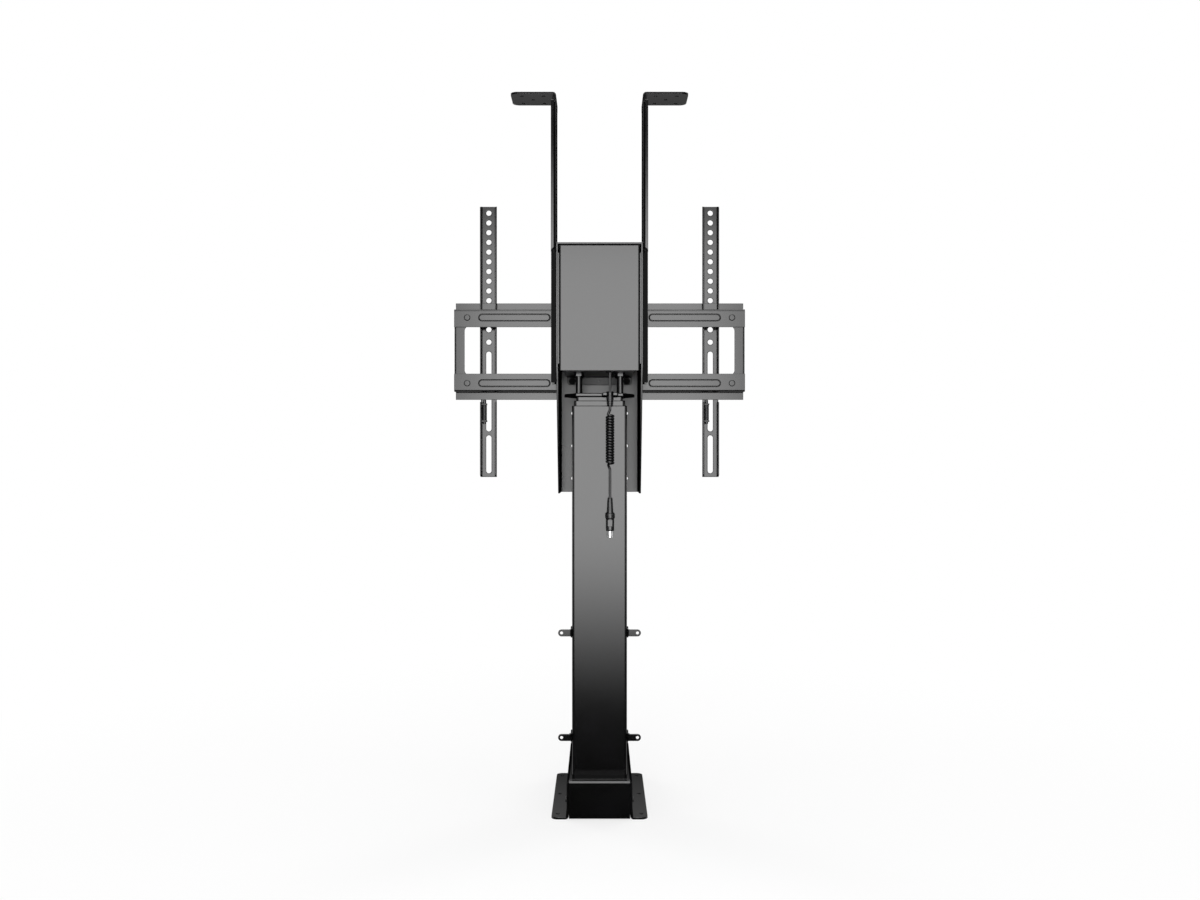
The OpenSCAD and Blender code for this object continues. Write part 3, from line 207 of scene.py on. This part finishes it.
# every piece is powder coated, apart from these
finishes = [
    ("zincPlatedSteel", zincLook,
     ["lower_support_tube", "middle_support_tube", "spindle_bearing", "outer_spindle", "inner_spindle"]),
    ("blackenedSteel", blackenedLook, ["carriage_standoffs", "latch_pin_left", "latch_pin_right"]),
    ("phosphatedSteel", phosphateLook,
     ["lid_bracket_bolts", "rail_bolts", "wall_ear_screws", "base_cover_screws"]),
    # painted shade: the carriage bracket's bolts take the darker copy of the phosphated steel
    ("shadedPhosphatedSteel", shadedPhosphateLook, ["carriage_bracket_bolts"]),
    ("coarseCoatedSteel", bracketCoatLook, ["carriage_bracket"]),
    ("channelCoatedSteel", channelCoatLook, ["carriage_channel"]),
    ("lidCoatedSteel", lidCoatLook, ["lid_bracket_left", "lid_bracket_right"]),
    ("armCoatedSteel", armCoatLook, ["vesa_arm_left", "vesa_arm_right"]),
    ("nickelPlatedBrass", nickelLook, ["plug_shell"]),
    ("mouldedAbs", absLook,
     ["control_box", "drive_motor", "plug_insert", "latch_barrel_left", "latch_barrel_right"]),
    ("mouldedAcetal", acetalLook,
     ["outer_glide_ring", "middle_glide_shoe", "middle_glide_ring", "inner_glide_shoe"]),
    ("turnedBronze", bronzeLook, ["lower_spindle_nut", "upper_spindle_nut", "gearbox"]),
    ("polyurethaneJacket", jacketLook, ["cord_neck", "curly_cord", "cord_lead", "housing_lead"]),
    ("mouldedPvc", pvcLook,
     ["cover_edge_strips", "cord_grommet", "cord_gland", "plug_boot", "plug_body"]),
]
for finishName, look, pieces in [("powderCoatedSteel", powderCoatLook, nodes), *finishes]:
    material = surfaceMaterial(finishName, look)
    for piece in pieces:
        nodes[piece].data.materials.clear()
        nodes[piece].data.materials.append(material)
print("materials made")


# cord: short neck, curls and straight lead in one piece, on the part's route but with slightly wider curls
cordRoute = {
    "axis": (0.0152, -0.100),
    "diameter": 0.0035,
    "glandBottom": 0.5925,
    "curlsTop": 0.578,
    "leadBottom": 0.4583,
    "coilRadius": 0.0046,
    "pitch": 0.00398,
    "turns": 17.5,
    "startTurn": 0.75,  # the first curl starts at the front
    "bendDrop": 0.009,
    "pullStraight": 0.003,  # how far a bend is drawn along the axis
    "pullCurl": 0.0055,  # and along the curls
    "neckSteps": 4,
    "bendSteps": 20,
    "stepsPerTurn": 24,
    "leadSteps": 8,
    "tangentStep": 0.01,  # part of a turn
    "roundness": 4,
}


def cordPoints(plan):
    def onAxis(z):
        return Vector((*plan["axis"], z))

    def curl(turn):
        angle = 2 * math.pi * (turn + plan["startTurn"])
        outwards = Vector((math.cos(angle), math.sin(angle), 0))
        return onAxis(plan["curlsTop"] - plan["pitch"] * turn) + plan["coilRadius"] * outwards

    def pull(turn):
        step = plan["tangentStep"]
        return plan["pullCurl"] * (curl(turn + step) - curl(turn - step)).normalized()

    # between the axis and the curls the cord bends as widely as the drop allows
    turns = plan["turns"]
    first, last = curl(0), curl(turns)
    above, below = onAxis(first.z + plan["bendDrop"]), onAxis(last.z - plan["bendDrop"])
    down = Vector((0, 0, -plan["pullStraight"]))
    inward = interpolate_bezier(above, above + down, first - pull(0), first, plan["bendSteps"])
    outward = interpolate_bezier(last, last + pull(turns), below - down, below, plan["bendSteps"])
    curls = [curl(k / plan["stepsPerTurn"]) for k in range(1, round(turns * plan["stepsPerTurn"]))]
    start, end = onAxis(plan["glandBottom"]), onAxis(plan["leadBottom"])
    neck = [start.lerp(above, k / plan["neckSteps"]) for k in range(plan["neckSteps"])]
    lead = [below.lerp(end, k / plan["leadSteps"]) for k in range(1, plan["leadSteps"] + 1)]
    return neck + inward + curls + outward + lead


route = cordPoints(cordRoute)
cordData = bpy.data.curves.new("motor_cord", "CURVE")
cordData.dimensions = "3D"
cordData.bevel_depth = cordRoute["diameter"] / 2
cordData.bevel_resolution = cordRoute["roundness"]
cordData.use_fill_caps = True
spline = cordData.splines.new("POLY")
spline.points.add(len(route) - 1)
for point, place in zip(spline.points, route):
    point.co = (*place, 1)
cordData.materials.append(nodes["curly_cord"].data.materials[0])
cord = newObject("motor_cord", cordData)
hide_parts("cord_neck", "curly_cord", "cord_lead")
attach(cord, "carriage")


# edges: cut and folded ones are slightly round, curved faces are smooth, and the rivets' heads are domed
edges = {
    "joinWithin": 0.00001,
    "flatWithin": 0.4,  # degrees, as the next two
    "smoothUpTo": 32,
    "roundFrom": 40,
    "segments": 3,
    "coatedSheet": 0.0008,
    "fastenersAndPlastics": 0.0002,
    "full": 0.0012,
    "fullRound": ["vesa_rivets", "column_flange_plate", "outer_column_tube", "middle_column_tube",
                  "inner_column_tube"],
    "leftAlone": ["cord_neck", "curly_cord", "cord_lead", "housing_lead"],
}


def smoothGroup():
    # faces shade smooth except across edges that turn by more than smoothUpTo degrees
    group = bpy.data.node_groups.new("smoothByAngle", "GeometryNodeTree")
    for direction in ("INPUT", "OUTPUT"):
        group.interface.new_socket("Geometry", in_out=direction, socket_type="NodeSocketGeometry")
    start = addNode(group, "NodeGroupInput")
    turn = addNode(group, "GeometryNodeInputMeshEdgeAngle").outputs["Unsigned Angle"]
    gentle = addNode(group, "FunctionNodeCompare", {
        "operation": "LESS_THAN", 1: math.radians(edges["smoothUpTo"])}, {0: turn})
    creased = addNode(group, "GeometryNodeSetShadeSmooth", {"domain": "EDGE"}, {
        "Geometry": start, "Shade Smooth": gentle})
    smooth = addNode(group, "GeometryNodeSetShadeSmooth", {"domain": "FACE", "Shade Smooth": True}, {
        "Geometry": creased})
    addNode(group, "NodeGroupOutput", links={"Geometry": smooth})
    return group


def edgeWidth(name):
    if name in edges["fullRound"]:
        return edges["full"]
    coated = "CoatedSteel" in nodes[name].data.materials[0].name
    return edges["coatedSheet" if coated else "fastenersAndPlastics"]


smoothByAngle = smoothGroup()
for name, obj in nodes.items():
    if name in edges["leftAlone"]:
        continue
    obj.modifiers.new("joinedFaces", "WELD").merge_threshold = edges["joinWithin"]
    flat = obj.modifiers.new("joinedFlats", "DECIMATE")
    flat.decimate_type = "DISSOLVE"
    flat.angle_limit = math.radians(edges["flatWithin"])
    bevel = obj.modifiers.new("roundedEdges", "BEVEL")
    bevel.width = edgeWidth(name)
    bevel.segments = edges["segments"]
    bevel.use_clamp_overlap = name not in edges["fullRound"]  # these keep their full width
    bevel.limit_method = "ANGLE"
    bevel.angle_limit = math.radians(edges["roundFrom"])
    obj.modifiers.new("smoothFaces", "NODES").node_group = smoothByAngle
    obj.modifiers.new("flatFacesStayFlat", "WEIGHTED_NORMAL").keep_sharp = True
print("edges rounded")


# floor and background
studio = {
    "floorReach": 12.0,
    "floorColour": "#f2f2f2",
    "shadowShare": 0.35,  # how much of the floor itself shows close to the object
    "shadowReach": (0.25, 1.3),  # from that share to none
    "ambient": 0.35,
    "background": 1.0,  # at this strength it is pure white
}


def seenDirectly(tree):
    # 1 for rays from the camera, from gloss and through glass, 0 for the light that falls on things
    rays = addNode(tree, "ShaderNodeLightPath").outputs
    seen = rays["Is Camera Ray"]
    for name in ("Is Glossy Ray", "Is Transmission Ray"):
        seen = addNode(tree, "ShaderNodeMath", {"operation": "MAXIMUM"}, {0: seen, 1: rays[name]})
    return seen


def floorPaint():
    # Emulsion paint, rolled: white and matt; away from the object it passes into the white background
    material = bpy.data.materials.new("paintedFloor")
    tree = newTree(material)
    matt = addNode(tree, "ShaderNodeBsdfDiffuse", {"Color": linearColour(studio["floorColour"])})
    glow = addNode(tree, "ShaderNodeEmission", {"Color": white, "Strength": studio["background"]})
    place = addNode(tree, "ShaderNodeTexCoord").outputs["Object"]
    away = addNode(tree, "ShaderNodeVectorMath", {"operation": "LENGTH"}, {"Vector": place})
    farOff = addNode(tree, "ShaderNodeMapRange", {
        "interpolation_type": "SMOOTHSTEP",
        "From Min": studio["shadowReach"][0], "From Max": studio["shadowReach"][1],
        "To Min": 1 - studio["shadowShare"], "To Max": 1.0}, {"Value": away.outputs["Value"]})
    share = addNode(tree, "ShaderNodeMath", {"operation": "MULTIPLY"}, {0: farOff, 1: seenDirectly(tree)})
    blend = addNode(tree, "ShaderNodeMixShader", links={0: share, 1: matt, 2: glow})
    addNode(tree, "ShaderNodeOutputMaterial", links={"Surface": blend})
    return material


def stagePiece(name, corners, faces, material):
    mesh = bpy.data.meshes.new(name)
    mesh.from_pydata(corners, [], faces)
    mesh.materials.append(material)
    piece = newObject(name, mesh)
    return piece


reach = studio["floorReach"]
floorCorners = [(-reach, -reach, 0), (reach, -reach, 0), (reach, reach, 0), (-reach, reach, 0)]
floor = stagePiece("floor", floorCorners, [(0, 1, 2, 3)], floorPaint())
floor.visible_glossy = False  # gloss sees the white background or the tent there

world = bpy.data.worlds.new("studio")
scene.world = world
tree = newTree(world)
strength = addNode(tree, "ShaderNodeMapRange", {
    "To Min": studio["ambient"], "To Max": studio["background"]}, {"Value": seenDirectly(tree)})
background = addNode(tree, "ShaderNodeBackground", {"Color": white}, {"Strength": strength})
addNode(tree, "ShaderNodeOutputWorld", links={"Surface": background})
print("floor and background placed")


# tent: black cloth in front of the object, open towards it, with a lit sheet in its front wall, a dimmer
# wing on either side and an upper light for the raised lift. Only gloss sees it: it gives black paint its
# even grey face and dark edges. Each fade goes from one light to another over its reach, above, below or
# beside the sheet's middle.
tent = {
    "nearCorner": (-2.2, -1.9, -1.6),
    "farCorner": (2.2, -0.1, 3.2),
    "sheetHeight": 0.655,
    "fades": {
        "sheetTop": {"side": "above", "reach": (0.42, 0.8), "light": (1.0, 0.0)},
        "sheetBottom": {"side": "below", "reach": (0.32, 0.92), "light": (1.0, 0.0)},
        "upperLight": {"side": "above", "reach": (0.93, 1.2), "light": (0.0, 0.6)},
        "sheetSides": {"side": "beside", "reach": (0.25, 0.8), "light": (6.3, 0.0)},
        "wingNear": {"side": "beside", "reach": (0.9, 1.1), "light": (0.0, 1.0)},
        "wingFar": {"side": "beside", "reach": (1.75, 2.0), "light": (2.4, 0.0)},
    },
}


def tentCloth():
    # Black cloth, woven: it gives back no light, and glows where it is lit from behind
    material = bpy.data.materials.new("blackCloth")
    tree = newTree(material)
    place = addNode(tree, "ShaderNodeTexCoord").outputs["Object"]
    spot = addNode(tree, "ShaderNodeSeparateXYZ", links={"Vector": place}).outputs
    middle = tent["sheetHeight"]
    distance = {
        "above": addNode(tree, "ShaderNodeMath", {"operation": "SUBTRACT", 1: middle}, {0: spot["Z"]}),
        "below": addNode(tree, "ShaderNodeMath", {"operation": "SUBTRACT", 0: middle}, {1: spot["Z"]}),
        "beside": addNode(tree, "ShaderNodeMath", {"operation": "ABSOLUTE"}, {0: spot["X"]}),
    }
    shares = {}
    for name, fade in tent["fades"].items():
        shares[name] = addNode(tree, "ShaderNodeMapRange", {
            "interpolation_type": "SMOOTHSTEP",
            "From Min": fade["reach"][0], "From Max": fade["reach"][1],
            "To Min": fade["light"][0], "To Max": fade["light"][1]}, {"Value": distance[fade["side"]]})
    upright = addNode(tree, "ShaderNodeMath", {"operation": "MULTIPLY_ADD"}, {
        0: shares["sheetTop"], 1: shares["sheetBottom"], 2: shares["upperLight"]})
    sideways = addNode(tree, "ShaderNodeMath", {"operation": "MULTIPLY_ADD"}, {
        0: shares["wingNear"], 1: shares["wingFar"], 2: shares["sheetSides"]})
    power = addNode(tree, "ShaderNodeMath", {"operation": "MULTIPLY"}, {0: upright, 1: sideways})
    glow = addNode(tree, "ShaderNodeEmission", {"Color": white}, {"Strength": power})
    addNode(tree, "ShaderNodeOutputMaterial", links={"Surface": glow})
    return material


(x0, y0, z0), (x1, y1, z1) = tent["nearCorner"], tent["farCorner"]
tentCorners = [(x, y, z) for y in (y0, y1) for x, z in ((x0, z0), (x1, z0), (x1, z1), (x0, z1))]
frontWall = (0, 1, 2, 3)
otherWalls = [(a, a + 4, b + 4, b) for a, b in ((0, 1), (1, 2), (2, 3), (3, 0))]
tentObject = stagePiece("tent", tentCorners, [frontWall, *otherWalls], tentCloth())
tentObject.visible_camera = tentObject.visible_diffuse = tentObject.visible_shadow = False
tentObject.visible_transmission = tentObject.visible_volume_scatter = False
print("tent placed")


# softboxes: place, aim, width and height in metres, and the brightness of each face
softboxes = {
    "frontBox": {"place": (0, -1.9, 0.64), "aim": (0, 0, 0.64), "size": (1.15, 1.2), "brightness": 6.3},
    "topBox": {"place": (0, 0.2, 2.8), "aim": (0, 0, 0), "size": (2.6, 2.6), "brightness": 2.0},
    "rearLeftBox": {"place": (-1.7, 1.7, 1.1), "aim": (0, 0, 0.6), "size": (0.7, 1.5), "brightness": 4.5},
    "rearRightBox": {"place": (1.7, 1.7, 1.1), "aim": (0, 0, 0.6), "size": (0.7, 1.5), "brightness": 4.5},
}
for name, box in softboxes.items():
    width, height = box["size"]
    light = bpy.data.lights.new(name, "AREA")
    light.shape = "RECTANGLE"
    light.size, light.size_y = width, height
    light.energy = box["brightness"] * math.pi * width * height
    lamp = newObject(name, light)
    lamp.location = box["place"]
    aim = Vector(box["aim"]) - Vector(box["place"])
    lamp.rotation_euler = aim.to_track_quat("-Z", "Y").to_euler()
    lamp.visible_camera = False
    lamp.visible_glossy = name != "frontBox"  # the tent's lit sheet stands in for it
print("lights placed")
